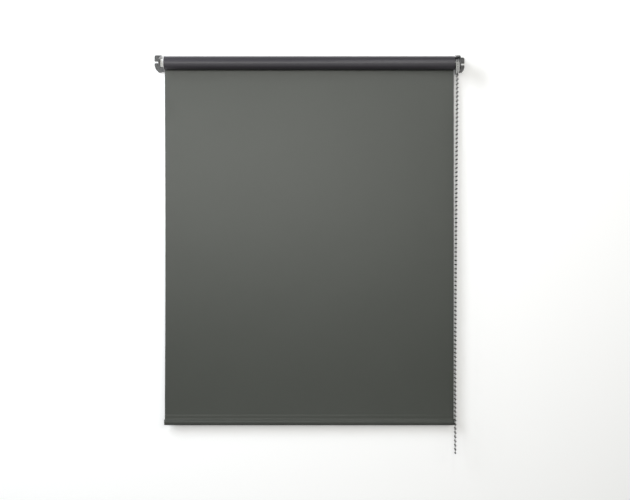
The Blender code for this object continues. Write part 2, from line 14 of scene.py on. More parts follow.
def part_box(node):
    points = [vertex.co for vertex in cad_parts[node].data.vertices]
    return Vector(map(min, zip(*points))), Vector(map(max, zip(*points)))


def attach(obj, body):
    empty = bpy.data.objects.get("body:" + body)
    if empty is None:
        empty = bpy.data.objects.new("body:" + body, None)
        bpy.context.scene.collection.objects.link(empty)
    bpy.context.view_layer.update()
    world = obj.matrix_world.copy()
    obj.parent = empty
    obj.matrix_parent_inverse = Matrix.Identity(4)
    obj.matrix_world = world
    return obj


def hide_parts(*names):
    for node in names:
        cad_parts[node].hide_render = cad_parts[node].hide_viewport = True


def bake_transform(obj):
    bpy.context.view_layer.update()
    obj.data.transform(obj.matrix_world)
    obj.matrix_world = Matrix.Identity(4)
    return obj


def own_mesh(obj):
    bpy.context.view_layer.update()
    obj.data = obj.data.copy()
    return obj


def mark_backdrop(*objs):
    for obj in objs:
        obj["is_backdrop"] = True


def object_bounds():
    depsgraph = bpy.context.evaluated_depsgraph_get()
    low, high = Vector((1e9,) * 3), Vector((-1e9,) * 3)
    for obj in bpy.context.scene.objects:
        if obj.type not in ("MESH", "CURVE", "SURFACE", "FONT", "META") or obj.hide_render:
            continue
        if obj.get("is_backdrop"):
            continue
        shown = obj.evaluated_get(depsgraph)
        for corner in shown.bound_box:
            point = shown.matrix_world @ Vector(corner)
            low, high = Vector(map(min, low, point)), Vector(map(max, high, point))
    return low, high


bl_info = {
    "name": "Roller blind",
    "version": (1, 0, 0),
    "blender": (4, 5, 0),
    "location": "3D View > Sidebar > Blind",
    "description": "Builds the looks of a chain-driven roller blind round its packed frame",
    "category": "Object",
}

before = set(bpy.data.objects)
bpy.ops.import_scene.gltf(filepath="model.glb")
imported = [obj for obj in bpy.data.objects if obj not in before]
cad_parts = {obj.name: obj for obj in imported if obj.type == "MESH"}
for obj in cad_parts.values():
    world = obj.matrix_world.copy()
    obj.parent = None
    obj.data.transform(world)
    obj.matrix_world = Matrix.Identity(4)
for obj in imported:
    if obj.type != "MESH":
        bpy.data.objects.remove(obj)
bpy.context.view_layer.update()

# Places that follow from the frame
DROP_LOW, DROP_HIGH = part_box("fabric_drop")
ROLL_LOW, ROLL_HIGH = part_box("fabric_roll")
POCKET_LOW, POCKET_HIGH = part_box("hem_pocket")
BAR_LOW, BAR_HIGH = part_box("hem_bar")
TUBE_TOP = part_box("roller_tube")[1].z
SPRING_LOW, SPRING_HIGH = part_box("idle_spring")
CHAIN_RADIUS = 0.00225  # of the frame's plain chain
CHAIN_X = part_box("bead_chain")[1].x - CHAIN_RADIUS
AXIS_Y = (ROLL_LOW.y + ROLL_HIGH.y) / 2
CLOTH_LEFT, CLOTH_RIGHT = DROP_LOW.x, DROP_HIGH.x
CLOTH_WIDTH = CLOTH_RIGHT - CLOTH_LEFT
CLOTH_Y = (DROP_LOW.y + DROP_HIGH.y) / 2

# Route of the chain's centreline from the top of the wheel: its lean from the wheel's plane, its place behind
# the axis, and its height above the axis. It runs down the front, round the loop and up the back.
CHAIN_ROUTE = [
    (0, -0.0009, 0.01525), (0, -0.00585, 0.01412), (0, -0.0108, 0.0108), (0, -0.01412, 0.00585),
    (0, -0.01528, 0), (0, -0.0153, -0.012), (0, -0.0153, -0.045), (-0.0006, -0.0152, -0.12),
    (-0.0019, -0.0150, -0.25), (-0.0032, -0.0148, -0.42), (-0.0046, -0.0146, -0.60),
    (-0.0056, -0.0144, -0.78), (-0.0060, -0.0141, -0.95), (-0.0059, -0.0137, -1.05),
    (-0.0058, -0.0133, -1.085), (-0.0058, -0.0117, -1.0985), (-0.0058, -0.0083, -1.108),
    (-0.0058, -0.0041, -1.1123), (-0.0058, 0, -1.1135), (-0.0058, 0.0041, -1.1123),
    (-0.0058, 0.0083, -1.108), (-0.0058, 0.0117, -1.0985), (-0.0058, 0.0132, -1.085),
    (-0.0059, 0.0135, -1.05), (-0.0060, 0.0136, -0.95), (-0.0056, 0.0137, -0.78),
    (-0.0046, 0.0137, -0.60), (-0.0032, 0.0137, -0.42), (-0.0019, 0.0137, -0.25),
    (-0.0006, 0.0138, -0.12), (0, 0.0148, -0.045), (0, 0.0153, -0.012), (0, 0.01528, 0),
    (0, 0.01412, 0.00585), (0, 0.0108, 0.0108), (0, 0.00585, 0.01412), (0, 0.0009, 0.01525),
]

# Hem's front from its top edge: how far it stands out, and how far down that is
WELD_AND_NECK = ((0.0, 0.0), (0.00003, 0.0012), (0.00022, 0.0040), (0.00025, 0.0055), (0.00016, 0.0090),
                 (0.00018, 0.0128))
# Cloth round the hem bar, from the neck to the foot: shares of its half depth and of its half height
BAR_WRAP = ((0.22, 1.06), (0.50, 0.88), (0.78, 0.68), (0.95, 0.50), (1.0, 0.34), (0.99, 0.14), (0.93, -0.10),
            (0.81, -0.38), (0.60, -0.66), (0.34, -0.88), (0.12, -0.985))

# Studio lamps: name, place, size, power, colour and the point they look at
LAMPS = (
    ("key", (-1.70, -1.25, 1.20), (1.1, 1.1), 42.0, (0.97, 1.0, 1.05), (0, 0, -0.40)),
    ("low_key", (-2.20, -1.60, 0.30), (1.1, 1.1), 25.0, (0.97, 1.0, 1.04), (0, 0, -0.40)),
    ("broad", (-0.45, -4.40, 0.00), (3.0, 1.2), 76.0, (1.0, 1.0, 0.96), (-0.1, 0, -0.1)),
    ("bounce", (0.0, -2.0, -1.80), (2.4, 0.5), 10.0, (1.0, 1.0, 0.97), (0, 0, -0.30)),
    ("crown", (0.46, -1.30, 0.72), (0.22, 0.9), 5.0, (1.0, 1.0, 1.0), (0.42, 0, 0.0)),
    ("side", (2.20, -2.20, 0.30), (1.0, 1.0), 18.0, (1.0, 0.98, 0.92), (0, 0, -0.45)),
    ("back", (0.60, 2.60, 0.40), (2.0, 2.0), 70.0, (1.0, 1.0, 1.0), (0, 0, -0.55)),
)
STUDIO_GLOW = 0.03  # of the room round the lamps; the camera sees plain white there

# Stage
CAMERA_X = 0.01525
CAMERA_OUT = 3.8  # from the roller's axis
CAMERA_UP = 0.5828  # above the foot of the chain
CAMERA_LENS, CAMERA_SENSOR = 76.19, 36.0  # millimetres
FLOOR_DOWN = 1.25  # below the foot of the chain
FLOOR_SIDE = 9.0
WALL_WIDTH, WALL_HEIGHT = 4.4, 3.8
WALL_GAP = 0.0004  # keeps the wall off the brackets' flanges

# Cloth and small parts
STRAIGHT_FROM = -0.02  # height where the free cloth starts to hang straight
OUTER_TURN = 372.0  # degrees of the outermost turn of cloth
TURN_STEP, INNER_STEP = 6.0, 9.0  # degrees from point to point of the outermost turn and of those inside it
INNER_START = 1.06  # share of the wind pitch from the outermost turn to the next
CORE_PLAY = 0.0002  # innermost turn to the tube
WELD_PLAY = 0.00004  # between the two layers of cloth at the weld
SPRING_WIRE = 0.0006  # radius
SPRING_TURNS, SPRING_STEPS = 6, 28


# ---------------------------------------------------------------- node helpers

def put(tree, kind, inputs=(), **settings):
    """Adds a node, with its settings and its inputs set from values or linked from sockets."""
    made = tree.nodes.new(kind)
    for key, value in settings.items():
        setattr(made, key, value)
    for key, value in dict(inputs).items():
        if isinstance(value, bpy.types.NodeSocket):
            tree.links.new(value, made.inputs[key])
        else:
            made.inputs[key].default_value = value
    return made


def math_node(tree, operation, a, b=0.0, clamp=False):
    """The result of a Math node on two numbers or sockets."""
    made = put(tree, "ShaderNodeMath", {0: a, 1: b}, operation=operation, use_clamp=clamp)
    return made.outputs[0]


def remap(tree, value, low, high, to_low, to_high):
    """A value moved from one range to another and held inside it."""
    made = put(tree, "ShaderNodeMapRange", {"Value": value, "From Min": low, "From Max": high,
                                            "To Min": to_low, "To Max": to_high})
    return made.outputs["Result"]


def noise(tree, vector, scale, detail=3.0, roughness=0.55):
    """Noise centred on one half."""
    made = put(tree, "ShaderNodeTexNoise", {"Vector": vector, "Scale": scale, "Detail": detail,
                                            "Roughness": roughness})
    return made.outputs["Fac"]


def group(name, inputs, outputs):
    """An empty node group with its sockets, and its input and output nodes."""
    made = bpy.data.node_groups.new(name, "ShaderNodeTree")
    for label, kind, value in inputs:
        socket = made.interface.new_socket(label, in_out="INPUT", socket_type="NodeSocket" + kind)
        if value is not None:
            socket.default_value = value
    for label, kind in outputs:
        made.interface.new_socket(label, in_out="OUTPUT", socket_type="NodeSocket" + kind)
    return made, put(made, "NodeGroupInput").outputs, put(made, "NodeGroupOutput").inputs


def effect(tree, name, **inputs):
    """Places a node group in a material and gives its outputs."""
    values = {key.replace("_", " "): value for key, value in inputs.items()}
    return put(tree, "ShaderNodeGroup", values, node_tree=bpy.data.node_groups[name])


# ---------------------------------------------------------------- shared effects

def make_weave():
    """Plain weave: warp and weft threads that pass over and under each other, with a mask of painted shade in
    the gaps between them.
    """
    tree, given, out = group("weave", [("Vector", "Vector", None), ("Threads", "Float", 2200.0)],
                             [("Height", "Float"), ("Gap Shade", "Float"), ("Slub", "Float")])
    scaled = put(tree, "ShaderNodeVectorMath", {0: given["Vector"], 3: given["Threads"]}, operation="SCALE")
    split = put(tree, "ShaderNodeSeparateXYZ", {0: scaled.outputs[0]})
    u, v = split.outputs[0], split.outputs[1]
    rise = {}
    for name, along, across in (("warp", v, u), ("weft", u, v)):
        swing = math_node(tree, "SINE", math_node(tree, "MULTIPLY", across, math.pi))
        ridge = math_node(tree, "ABSOLUTE", swing)
        turn = math_node(tree, "FLOOR", across)
        if name == "weft":
            turn = math_node(tree, "ADD", turn, 1.0)
        phase = math_node(tree, "MULTIPLY", math_node(tree, "ADD", along, turn), math.pi)
        wave = math_node(tree, "COSINE", phase)
        lift = remap(tree, wave, -1.0, 1.0, 0.35, 1.0)
        rise[name] = math_node(tree, "MULTIPLY", ridge, lift)
    height = math_node(tree, "MAXIMUM", rise["warp"], rise["weft"])
    tree.links.new(height, out["Height"])
    # Painted shade: a mask that darkens the colour where the threads dip between each other
    tree.links.new(remap(tree, height, 0.15, 0.6, 1.0, 0.0), out["Gap Shade"])
    slubs = []
    for stretch in ((1.0, 0.03, 1.0), (0.02, 1.0, 1.0)):
        drawn = put(tree, "ShaderNodeMapping", {"Vector": given["Vector"], "Scale": stretch})
        slubs.append(noise(tree, drawn.outputs[0], 900.0, 2.0))
    tree.links.new(math_node(tree, "MULTIPLY", math_node(tree, "ADD", *slubs), 0.5), out["Slub"])


def make_tone():
    """A colour varied by soft patches and by a fine speck."""
    tree, given, out = group("tone", [("Vector", "Vector", None), ("Color", "Color", (0.5, 0.5, 0.5, 1)),
                                      ("Patch", "Float", 0.05), ("Patch Scale", "Float", 12.0),
                                      ("Speck", "Float", 0.05), ("Speck Scale", "Float", 900.0)],
                             [("Color", "Color")])
    shift = 1.0
    for label in ("Patch", "Speck"):
        swing = math_node(tree, "SUBTRACT", noise(tree, given["Vector"], given[label + " Scale"]), 0.5)
        part = math_node(tree, "MULTIPLY", swing, math_node(tree, "MULTIPLY", given[label], 2.0))
        shift = math_node(tree, "ADD", shift, part)
    scaled = put(tree, "ShaderNodeVectorMath", {0: given["Color"], 3: shift}, operation="SCALE")
    tree.links.new(scaled.outputs[0], out["Color"])


def make_edge_highlight():
    """Painted edge highlight: a mask of the rounded edges of a piece, broken up by noise."""
    tree, given, out = group("edge_highlight", [("Vector", "Vector", None), ("Amount", "Float", 0.5),
                                           ("Scale", "Float", 260.0)], [("Mask", "Float")])
    edge = put(tree, "ShaderNodeAttribute", attribute_name="edge").outputs["Fac"]
    broken = remap(tree, noise(tree, given["Vector"], given["Scale"], 4.0), 0.42, 0.62, 0.0, 1.0)
    mask = math_node(tree, "MULTIPLY", edge, math_node(tree, "MULTIPLY", broken, given["Amount"]), True)
    tree.links.new(mask, out["Mask"])


def make_grain():
    """Skin of paint or moulded plastic: a fine pebble over a slow wave, and a gloss that varies."""
    tree, given, out = group("skin", [("Vector", "Vector", None), ("Scale", "Float", 1500.0),
                                      ("Wave", "Float", 0.35), ("Low", "Float", 0.3), ("High", "Float", 0.4)],
                             [("Height", "Float"), ("Roughness", "Float")])
    pebble = noise(tree, given["Vector"], given["Scale"], 2.0)
    slow = noise(tree, given["Vector"], 160.0, 1.0)
    height = math_node(tree, "ADD", pebble, math_node(tree, "MULTIPLY", slow, given["Wave"]))
    tree.links.new(height, out["Height"])
    smudge = noise(tree, given["Vector"], 75.0, 5.0, 0.65)
    tree.links.new(remap(tree, smudge, 0.3, 0.7, given["Low"], given["High"]), out["Roughness"])


def make_drawn():
    """Drawn metal: fine lines along X that change the height and the gloss."""
    tree, given, out = group("drawn_lines", [("Vector", "Vector", None), ("Scale", "Float", 2500.0),
                                             ("Low", "Float", 0.2), ("High", "Float", 0.4)],
                             [("Height", "Float"), ("Roughness", "Float")])
    drawn = put(tree, "ShaderNodeMapping", {"Vector": given["Vector"], "Scale": (0.012, 1.0, 1.0)})
    lines = noise(tree, drawn.outputs[0], given["Scale"], 3.0)
    tree.links.new(lines, out["Height"])
    tree.links.new(remap(tree, lines, 0.3, 0.7, given["Low"], given["High"]), out["Roughness"])


# ---------------------------------------------------------------- materials

def start_material(name, **constants):
    """A material with its Principled shader, whose plain values are set on its own sockets."""
    made = bpy.data.materials.new(name)
    made.use_nodes = True
    tree = made.node_tree
    shader = tree.nodes["Principled BSDF"]
    for key, value in constants.items():
        shader.inputs[key.replace("_", " ")].default_value = value
    return made, tree, shader


def object_coords(tree):
    return put(tree, "ShaderNodeTexCoord").outputs["Object"]


def bump(tree, shader, height, distance, strength=1.0):
    """Feeds a height to the shader's normal."""
    made = put(tree, "ShaderNodeBump", {"Height": height, "Distance": distance, "Strength": strength})
    tree.links.new(made.outputs[0], shader.inputs["Normal"])


def cloth_material(name, colour, gap_shade, low, high):
    """Tightly woven screen cloth: thread relief, painted shade in the gaps between threads and faint slubs.
    """
    made, tree, shader = start_material(name)
    shader.inputs["Specular IOR Level"].default_value = 0.5
    uv = put(tree, "ShaderNodeUVMap", uv_map="cloth").outputs[0]
    weave = effect(tree, "weave", Vector=uv, Threads=2100.0).outputs
    tone = effect(tree, "tone", Vector=uv, Color=(*colour, 1), Patch=0.05, Patch_Scale=5.0,
                  Speck=0.05, Speck_Scale=420.0).outputs["Color"]
    slub = remap(tree, weave["Slub"], 0.3, 0.7, 0.93, 1.07)
    # Painted shade: the colour is darkened in the gaps between threads
    shade = math_node(tree, "SUBTRACT", slub, math_node(tree, "MULTIPLY", weave["Gap Shade"], gap_shade))
    final = put(tree, "ShaderNodeVectorMath", {0: tone, 3: shade}, operation="SCALE")
    tree.links.new(final.outputs[0], shader.inputs["Base Color"])
    tree.links.new(remap(tree, weave["Height"], 0.0, 1.0, high, low), shader.inputs["Roughness"])
    bump(tree, shader, weave["Height"], 0.00006, 0.6)
    return made


def painted_material(name, colour, low, high, edge_light, coat=0.0, pebble=0.00002):
    """Paint or moulded plastic with a fine skin, uneven gloss and a painted highlight on its rounded edges.
    """
    made, tree, shader = start_material(name, Coat_Weight=coat, Coat_Roughness=0.08)
    here = object_coords(tree)
    tone = effect(tree, "tone", Vector=here, Color=(*colour, 1), Patch=0.08, Patch_Scale=60.0,
                  Speck=0.08, Speck_Scale=1400.0).outputs["Color"]
    mask = effect(tree, "edge_highlight", Vector=here, Amount=edge_light).outputs["Mask"]
    # Painted highlight: the rounded edges get a pale colour where the mask falls
    pale = tuple(0.55 * c + 0.12 for c in colour)
    lit_edges = put(tree, "ShaderNodeMix", {"Factor": mask, 6: tone, 7: (*pale, 1)}, data_type="RGBA")
    tree.links.new(lit_edges.outputs[2], shader.inputs["Base Color"])
    skin = effect(tree, "skin", Vector=here, Low=low, High=high).outputs
    tree.links.new(math_node(tree, "ADD", skin["Roughness"], math_node(tree, "MULTIPLY", mask, 0.15), True),
                   shader.inputs["Roughness"])
    bump(tree, shader, skin["Height"], pebble, 0.5)
    return made


def metal_material(name, colour, low, high, scale=2500.0):
    """Drawn or plated metal with fine lines and a little tarnish."""
    made, tree, shader = start_material(name, Metallic=1.0)
    here = object_coords(tree)
    tone = effect(tree, "tone", Vector=here, Color=(*colour, 1), Patch=0.08, Patch_Scale=90.0,
                  Speck=0.05, Speck_Scale=1100.0).outputs["Color"]
    tree.links.new(tone, shader.inputs["Base Color"])
    lines = effect(tree, "drawn_lines", Vector=here, Scale=scale, Low=low, High=high).outputs
    tree.links.new(lines["Roughness"], shader.inputs["Roughness"])
    bump(tree, shader, lines["Height"], 0.00002, 0.5)
    return made


def stage_material(name, colour, roughness, glow, one_sided):
    """Matt stage finish. The wall is seen from its front only, and lets light through to the blind's back."""
    made, tree, shader = start_material(name, Roughness=roughness)
    shader.inputs["Specular IOR Level"].default_value = 0.1
    shader.inputs["Emission Color"].default_value = (1, 1, 1, 1)
    shader.inputs["Emission Strength"].default_value = glow
    here = object_coords(tree)
    tone = effect(tree, "tone", Vector=here, Color=(*colour, 1), Patch=0.004, Patch_Scale=1.5,
                  Speck=0.002, Speck_Scale=200.0).outputs["Color"]
    tree.links.new(tone, shader.inputs["Base Color"])
    if one_sided:
        clear = put(tree, "ShaderNodeBsdfTransparent").outputs[0]
        behind = put(tree, "ShaderNodeNewGeometry").outputs["Backfacing"]
        shadow = put(tree, "ShaderNodeLightPath").outputs["Is Shadow Ray"]
        hide = math_node(tree, "MAXIMUM", behind, shadow)
        mix = put(tree, "ShaderNodeMixShader", {0: hide, 1: shader.outputs[0], 2: clear})
        tree.links.new(mix.outputs[0], tree.nodes["Material Output"].inputs["Surface"])
    return made


# ---------------------------------------------------------------- mesh helpers

def add_piece(name, bm, materials, body=None, replaces=(), angle=35, normals=True):
    """Makes a mesh object from a bmesh, with outward faces, on a body of the frame."""
    if normals:
        bmesh.ops.recalc_face_normals(bm, faces=bm.faces)
    mesh = bpy.data.meshes.new(name)
    bm.to_mesh(mesh)
    bm.free()
    mesh.shade_smooth()
    mesh.set_sharp_from_angle(angle=math.radians(angle))
    for material in materials:
        mesh.materials.append(material)
    piece = bpy.data.objects.new(name, mesh)
    bpy.context.scene.collection.objects.link(piece)
    if body:
        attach(piece, body)
    if replaces:
        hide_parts(*replaces)
    return piece


def even_normals(piece):
    """Keeps wide flat faces flat beside small rounded edges."""
    step = piece.modifiers.new("even_normals", "WEIGHTED_NORMAL")
    step.keep_sharp = True
    step.weight = 80
    return piece


def rounded_copy(name, node, width, material, body, segments=3):
    """A merged copy of a CAD node with its sharp edges rounded and marked for the painted edge highlight."""
    bm = bmesh.new()
    bm.from_mesh(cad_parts[node].data)
    bmesh.ops.remove_doubles(bm, verts=bm.verts, dist=2e-6)
    bmesh.ops.dissolve_limit(bm, angle_limit=math.radians(1.5), verts=bm.verts, edges=bm.edges)
    edge = bm.verts.layers.float.new("edge")
    fold = math.radians(32)
    folds = [e for e in bm.edges if e.is_manifold and e.calc_face_angle() > fold]
    made = bmesh.ops.bevel(bm, geom=folds, offset=width, offset_type="OFFSET", affect="EDGES",
                           segments=segments, profile=0.5, material=-1, clamp_overlap=True)
    for face in made["faces"]:
        for vert in face.verts:
            vert[edge] = 1.0
    piece = add_piece(name, bm, [material], body, [node], angle=50, normals=False)
    return even_normals(piece)


def cad_finish(node, material):
    """Gives a CAD node that keeps its shape its finish."""
    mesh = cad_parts[node].data
    mesh.materials.clear()
    mesh.materials.append(material)


def smooth_route(points, steps):
    """Points on a smooth curve through the given ones."""
    ends = [points[0], *points, points[-1]]
    out = []
    for p, q, r, s in zip(ends, ends[1:], ends[2:], ends[3:]):
        for i in range(steps):
            t = i / steps
            bend = 2 * p - 5 * q + 4 * r - s + t * (3 * q - p - 3 * r + s)
            out.append(q + 0.5 * t * (r - p + t * bend))
    return out + [points[-1]]


def spaced(route, count):
    """Points spread evenly along a route, both ends included."""
    lengths = [0.0]
    for a, b in zip(route, route[1:]):
        lengths.append(lengths[-1] + (b - a).length)
    out, i = [], 0
    for k in range(count + 1):
        at = lengths[-1] * k / count
        while i < len(route) - 2 and lengths[i + 1] < at:
            i += 1
        share = (at - lengths[i]) / (lengths[i + 1] - lengths[i])
        out.append(route[i].lerp(route[i + 1], min(max(share, 0.0), 1.0)))
    return out, lengths[-1]


def tube_along(bm, path, radius, sides, closed):
    """A thin tube along a path, from rings that are set square to it and bridged."""
    count = len(path)
    last = None
    first = None
    for i, point in enumerate(path):
        ahead = path[(i + 1) % count] if closed else path[min(i + 1, count - 1)]
        behind = path[i - 1] if closed or i else path[0]
        turn = (ahead - behind).to_track_quat("Z", "X").to_matrix().to_4x4()
        ring = bmesh.ops.create_circle(bm, segments=sides, radius=radius, cap_ends=False,
                                       matrix=Matrix.Translation(point) @ turn)["verts"]
        edges = list({e for v in ring for e in v.link_edges})
        if last:
            bmesh.ops.bridge_loops(bm, edges=last + edges)
        else:
            first = edges
        last = edges
    if closed:
        bmesh.ops.bridge_loops(bm, edges=last + first)


def polyline(bm, points, x):
    """A line of joined points in the plane of one X."""
    verts = [bm.verts.new((x, y, z)) for y, z in points]
    return [bm.edges.new(pair) for pair in zip(verts, verts[1:])]


def strip(points, columns, shape=None):
    """Cloth from a line of (y, z) points drawn across the blind's width, with a UV map in metres."""
    bm = bmesh.new()
    edges = polyline(bm, points, CLOTH_LEFT)
    run = [0.0]
    for a, b in zip(points, points[1:]):
        run.append(run[-1] + math.dist(a, b))
    step = CLOTH_WIDTH / columns
    along = {v: run[i] for i, v in enumerate(bm.verts)}
    for _ in range(columns):
        grown = bmesh.ops.extrude_edge_only(bm, edges=edges)["geom"]
        fresh = [g for g in grown if isinstance(g, bmesh.types.BMVert)]
        edges = [g for g in grown if isinstance(g, bmesh.types.BMEdge) and
                 g.verts[0] in fresh and g.verts[1] in fresh]
        for vert in fresh:
            source = min((e.other_vert(vert) for e in vert.link_edges if e.other_vert(vert) in along),
                         key=lambda v: abs(v.co.y - vert.co.y) + abs(v.co.z - vert.co.z))
            along[vert] = along[source]
        bmesh.ops.translate(bm, vec=(step, 0, 0), verts=fresh)
    uv = bm.loops.layers.uv.new("cloth")
    for face in bm.faces:
        for loop in face.loops:
            loop[uv].uv = (loop.vert.co.x, along[loop.vert])
    if shape:
        shape(bm)
    return bm


def facing(bm, test):
    """Turns all faces over if the first one that a test answers for, with true, looks the wrong way."""
    for face in bm.faces:
        wrong = test(face)
        if wrong is not None:
            if wrong:
                bmesh.ops.reverse_faces(bm, faces=bm.faces)
            return


def cloth_piece(name, bm, body, node, rounded=True, blend=None):
    """A sheet of cloth with its thickness and its two finishes."""
    bm.normal_update()
    piece = add_piece(name, bm, [finish("cloth_face"), finish("cloth_reverse")], body, [node], 170,
                      False)
    if rounded:
        soft = piece.modifiers.new("soft", "SUBSURF")
        soft.levels = soft.render_levels = 2
        soft.boundary_smooth = "PRESERVE_CORNERS"
    thickness = piece.modifiers.new("thickness", "SOLIDIFY")
    thickness.thickness = sizes().cloth
    thickness.offset = 0.0
    thickness.material_offset = 1
    thickness.use_even_offset = True
    even_normals(piece)
    if blend:
        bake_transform(piece)


# ---------------------------------------------------------------- settings

def metres(name, description, default):
    return bpy.props.FloatProperty(name=name, description=description, default=default, precision=5,
                                   unit="LENGTH", min=0.0)


def colour(name, description, default):
    return bpy.props.FloatVectorProperty(name=name, description=description, default=default, size=3,
                                         subtype="COLOR", min=0.0, max=1.0)


class BlindSizes(bpy.types.PropertyGroup):
    """Sizes that the looks add to the frame."""
    cloth: metres("Cloth thickness", "Thickness of the screen cloth", 0.00038)
    pitch: metres("Wind pitch", "How far each turn of cloth lies inside the one outside it", 0.00042)
    waist: metres("Waist", "How far the idle edge of the hanging cloth draws in at half height", 0.002527)
    bead: metres("Bead", "Diameter of a bead of the chain", 0.0045)
    bead_pitch: metres("Bead pitch", "Distance between two beads", 0.012)
    cord: metres("Chain thread", "Diameter of the thread between the beads", 0.0010)
    round_edge: metres("Rounded edge", "Width of the rounding on moulded and pressed edges", 0.00035)


class BlindColours(bpy.types.PropertyGroup):
    """Colours of the finishes."""
    cloth: colour("Cloth face", "Side of the cloth that faces the room", (0.0330, 0.0380, 0.0305))
    cloth_back: colour("Cloth reverse", "Side of the cloth that shows on the roll", (0.039, 0.036, 0.043))
    paint: colour("Bracket paint", "Satin paint of the wall brackets", (0.017, 0.0175, 0.018))
    housing: colour("Housing", "Glossy plastic of the chain drive's housing", (0.010, 0.010, 0.011))
    drive: colour("Drive parts", "Matt plastic inside the chain drive", (0.045, 0.046, 0.047))
    nylon: colour("Idle plug", "White plastic of the idle end", (0.90, 0.90, 0.88))
    bead: colour("Beads", "Plastic of the bead chain", (0.005, 0.005, 0.005))
    trim: colour("Trim", "Plastic of the hem's end caps and the fixing strip", (0.040, 0.042, 0.040))


def sizes():
    return bpy.context.scene.blind_sizes


def finish(name):
    return bpy.data.materials[name]


# ---------------------------------------------------------------- pieces

class BLIND_OT_materials(bpy.types.Operator):
    """Makes the shared effects and the finishes"""
    bl_idname = "blind.materials"
    bl_label = "Finishes"

    def execute(self, context):
        for make in (make_weave, make_tone, make_edge_highlight, make_grain, make_drawn):
            make()
        tint = context.scene.blind_colours
        cloth_material("cloth_face", tint.cloth, gap_shade=0.30, low=0.30, high=0.42)
        cloth_material("cloth_reverse", tint.cloth_back, gap_shade=0.24, low=0.34, high=0.48)
        painted_material("satin_paint", tint.paint, low=0.30, high=0.42, edge_light=0.5, coat=0.15)
        painted_material("gloss_black", tint.housing, low=0.10, high=0.17, edge_light=0.25, coat=0.5,
                         pebble=0.00001)
        painted_material("matt_black", tint.drive, low=0.42, high=0.55, edge_light=0.3)
        painted_material("white_nylon", tint.nylon, low=0.36, high=0.46, edge_light=0.15)
        painted_material("bead_gloss", tint.bead, low=0.40, high=0.50, edge_light=0.2)
        painted_material("trim_matt", tint.trim, low=0.42, high=0.52, edge_light=0.35)
        metal_material("drawn_aluminium", (0.78, 0.79, 0.80), low=0.22, high=0.40)
        metal_material("plated_steel", (0.56, 0.56, 0.57), low=0.20, high=0.34, scale=1600.0)
        return {"FINISHED"}


class BLIND_OT_stage(bpy.types.Operator):
    """Makes the wall, the floor, the studio light and the camera"""
    bl_idname = "blind.stage"
    bl_label = "Stage"

    def execute(self, context):
        scene = context.scene
        low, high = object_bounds()
        camera = bpy.data.cameras.new("camera")
        camera.lens = CAMERA_LENS
        camera.sensor_width = CAMERA_SENSOR
        camera.clip_start, camera.clip_end = 0.05, 60.0
        eye = bpy.data.objects.new("camera", camera)
        eye.location = (CAMERA_X, AXIS_Y - CAMERA_OUT, low[2] + CAMERA_UP)
        eye.rotation_euler = (math.radians(90), 0, 0)
        scene.collection.objects.link(eye)
        scene.camera = eye

        wall_finish = stage_material("wall_finish", (0.96, 0.96, 0.96), roughness=0.9, glow=0.06,
                                     one_sided=True)
        floor_finish = stage_material("floor_finish", (0.85, 0.85, 0.84), roughness=0.8, glow=0.25,
                                      one_sided=False)
        floor_z = low[2] - FLOOR_DOWN
        wall_place = (0, high[1] + WALL_GAP, floor_z + WALL_HEIGHT / 2)
        stage = []
        for name, material, size, place, turn in (
                ("wall", wall_finish, (WALL_WIDTH, WALL_HEIGHT), wall_place, math.radians(90)),
                ("floor", floor_finish, (FLOOR_SIDE, FLOOR_SIDE), (0, 0, floor_z), 0.0)):
            bm = bmesh.new()
            spread = Matrix.Rotation(turn, 4, "X") @ Matrix.Diagonal((*size, 1, 1))
            bmesh.ops.create_grid(bm, x_segments=1, y_segments=1, size=0.5,
                                  matrix=Matrix.Translation(place) @ spread)
            stage.append(add_piece(name, bm, [material], normals=False))
        # The floor is seen, but sends no light up to the blind's undersides
        stage[1].visible_diffuse = stage[1].visible_glossy = False
        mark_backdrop(*stage)

        for name, place, size, power, tint, aim in LAMPS:
            lamp = bpy.data.lights.new(name, "AREA")
            lamp.shape = "RECTANGLE"
            lamp.size, lamp.size_y = size
            lamp.energy = power
            lamp.color = tint
            body = bpy.data.objects.new(name, lamp)
            body.location = place
            body.visible_camera = False
            body.rotation_euler = (Vector(aim) - Vector(place)).to_track_quat("-Z", "Y").to_euler()
            scene.collection.objects.link(body)

        world = bpy.data.worlds.new("studio")
        world.use_nodes = True
        glow = world.node_tree.nodes["Background"]
        glow.inputs["Color"].default_value = (1, 1, 1, 1)
        seen = put(world.node_tree, "ShaderNodeLightPath").outputs["Is Camera Ray"]
        world.node_tree.links.new(remap(world.node_tree, seen, 0.0, 1.0, STUDIO_GLOW, 1.0),
                                  glow.inputs["Strength"])
        scene.world = world
        scene.view_settings.view_transform = "Standard"
        return {"FINISHED"}


class BLIND_OT_chain(bpy.types.Operator):
    """Makes the endless bead chain"""
    bl_idname = "blind.chain"
    bl_label = "Bead chain"

    def execute(self, context):
        size = sizes()
        route = [Vector((CHAIN_X + lean, AXIS_Y + back, up)) for lean, back, up in
                 smooth_route([Vector(p) for p in CHAIN_ROUTE], 8)]
        top = (route[0] + route[-1]) / 2
        loop = [top, *route, top]
        _, length = spaced(loop, 1)
        count = round(length / size.bead_pitch)
        places, _ = spaced(loop, count)
        thread, _ = spaced(loop, count * 2)
        bm = bmesh.new()
        tube_along(bm, thread[:-1], size.cord / 2, 5, True)
        for i, place in enumerate(places[:-1]):
            ahead = places[i + 1] - place
            turn = ahead.to_track_quat("Z", "X").to_matrix().to_4x4()
            bmesh.ops.create_uvsphere(bm, u_segments=8, v_segments=6, radius=size.bead / 2,
                                      matrix=Matrix.Translation(place) @ turn)
        piece = add_piece("chain", bm, [finish("bead_gloss")], "root", ["bead_chain"], 80)
        middles, length = spaced(route, count)
        return {"FINISHED"}


def wound(radius, pitch, whole, step):
    """Points of a spiral round the axis, from the back over the top, by angles in degrees."""
    out = []
    count = round(whole / step)
    for i in range(count + 1):
        angle = whole * i / count
        r = radius - pitch * angle / 360
        turn = math.radians(angle)
        out.append((AXIS_Y + r * math.cos(turn), r * math.sin(turn)))
    return out


